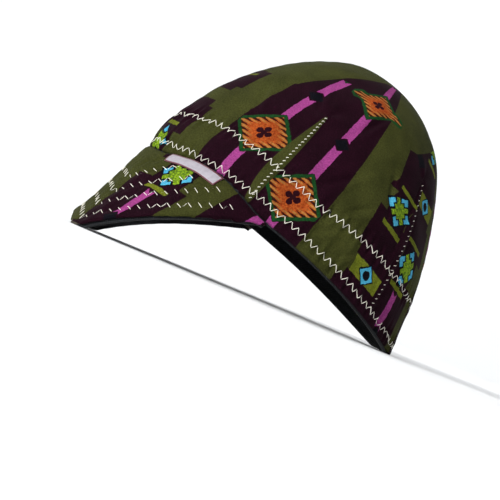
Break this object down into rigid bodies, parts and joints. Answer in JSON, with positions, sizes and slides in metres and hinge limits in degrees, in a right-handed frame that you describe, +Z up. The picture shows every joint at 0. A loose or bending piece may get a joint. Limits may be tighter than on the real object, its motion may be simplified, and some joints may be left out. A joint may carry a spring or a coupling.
{
  "type": "welding cap",
  "caption": "Soft printed cotton cap with a tall rounded crown, a sweatband inside its rim and a wide quilted bill that hangs at the front.",
  "frame": {"origin": "on the floor, under the middle of the cap's box, as it rests on the bill's front corners and the nape", "axes": "+Z up, -Y to the front of the cap, +X to the wearer's left"},
  "size_m": [0.1632, 0.2336, 0.172],
  "materials": {
    "print_cloth": "matte woven cotton with a striped print",
    "black_cloth": "matte black cotton twill",
    "label_weave": "smooth woven tape, bare"
  },
  "bodies": {
    "root": {"crown_left": "print_cloth", "crown_right": "print_cloth", "sweatband": "black_cloth", "bill_top": "print_cloth", "bill_under": "black_cloth", "label_tab": "label_weave"}
  },
  "joints": []
}
